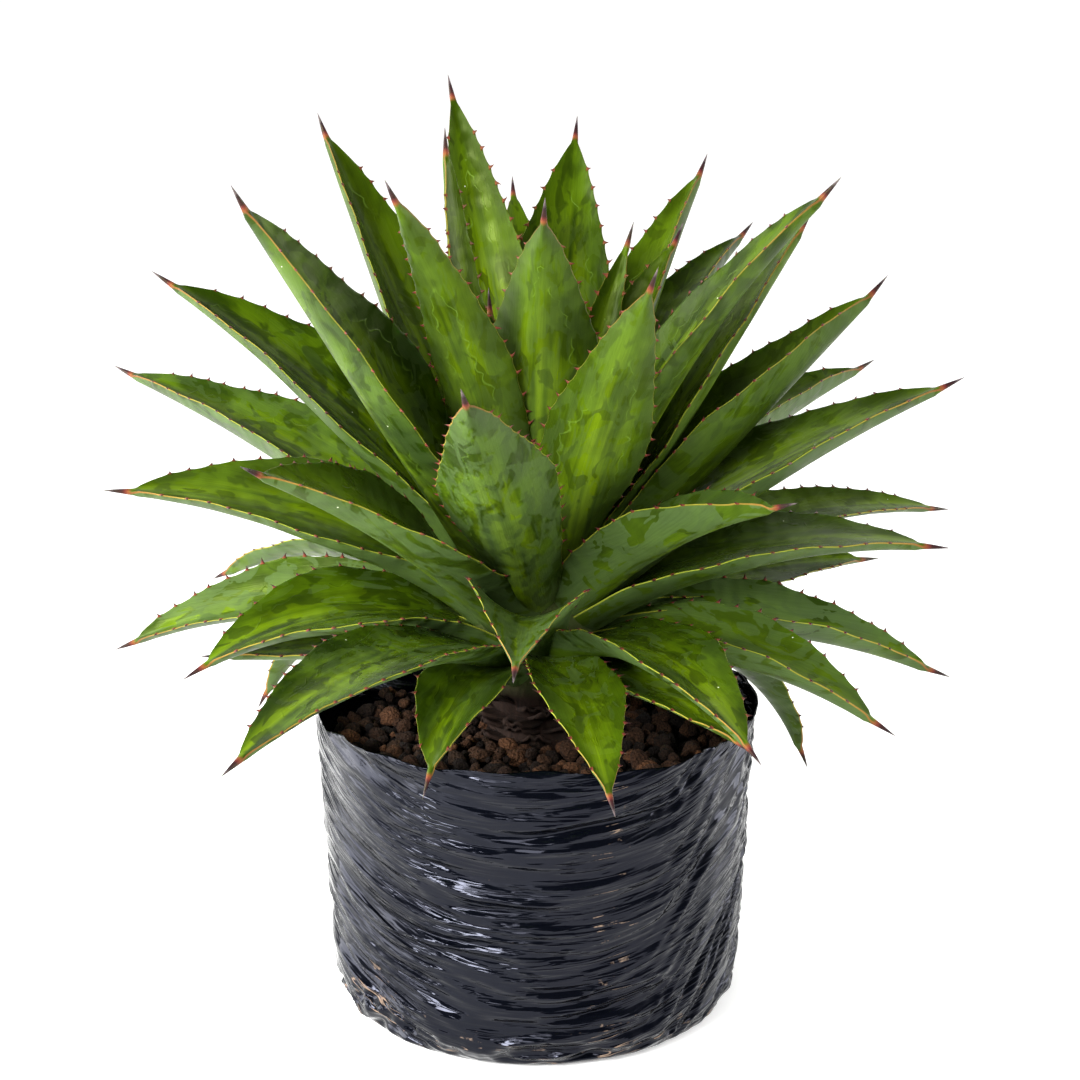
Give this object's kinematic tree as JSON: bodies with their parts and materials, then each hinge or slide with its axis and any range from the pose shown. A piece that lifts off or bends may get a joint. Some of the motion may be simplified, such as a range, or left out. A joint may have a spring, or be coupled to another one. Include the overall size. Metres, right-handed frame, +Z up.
{
  "type": "potted agave",
  "caption": "Dense rosette of thick, toothed, spine-tipped green leaves on a short stem, in volcanic gravel in a wrinkled black film grow-bag.",
  "frame": {"origin": "centre of the flat foot of the grow-bag, on the surface it stands on", "axes": "+Z up along the pot and plant; -Y towards the viewer of the picture; +X to the viewer's right"},
  "size_m": [0.4187, 0.4049, 0.4248],
  "materials": {
    "bag_film": "thin black polyethylene film, glossy, wrinkled all over, dusty",
    "volcanic_gravel": "rough dark brown and reddish volcanic granules",
    "leaf": "fleshy waxy green leaf, yellow-green margins with dark red teeth, dark spine",
    "dry_stem": "short brown stem wrapped in dry leaf bases"
  },
  "bodies": {
    "root": {"grow_bag": "bag_film", "gravel": "volcanic_gravel", "leaf_01": "leaf", "leaf_02": "leaf", "leaf_03": "leaf", "leaf_04": "leaf", "leaf_05": "leaf", "leaf_06": "leaf", "leaf_07": "leaf", "leaf_08": "leaf", "leaf_09": "leaf", "leaf_10": "leaf", "leaf_11": "leaf", "leaf_12": "leaf", "leaf_13": "leaf", "leaf_14": "leaf", "leaf_15": "leaf", "leaf_16": "leaf", "leaf_17": "leaf", "leaf_18": "leaf", "leaf_19": "leaf", "leaf_20": "leaf", "leaf_21": "leaf", "leaf_22": "leaf", "leaf_23": "leaf", "leaf_24": "leaf", "leaf_25": "leaf", "leaf_26": "leaf", "leaf_27": "leaf", "leaf_28": "leaf", "leaf_29": "leaf", "leaf_30": "leaf", "leaf_31": "leaf", "leaf_32": "leaf", "leaf_33": "leaf", "leaf_34": "leaf", "leaf_35": "leaf", "leaf_36": "leaf", "leaf_37": "leaf", "leaf_38": "leaf", "leaf_39": "leaf", "leaf_40": "leaf", "leaf_41": "leaf", "leaf_42": "leaf", "leaf_43": "leaf", "leaf_44": "leaf", "leaf_45": "leaf", "leaf_46": "leaf", "leaf_47": "leaf", "leaf_48": "leaf", "leaf_49": "leaf", "leaf_50": "leaf", "leaf_51": "leaf", "leaf_52": "leaf", "stem": "dry_stem"}
  },
  "joints": []
}
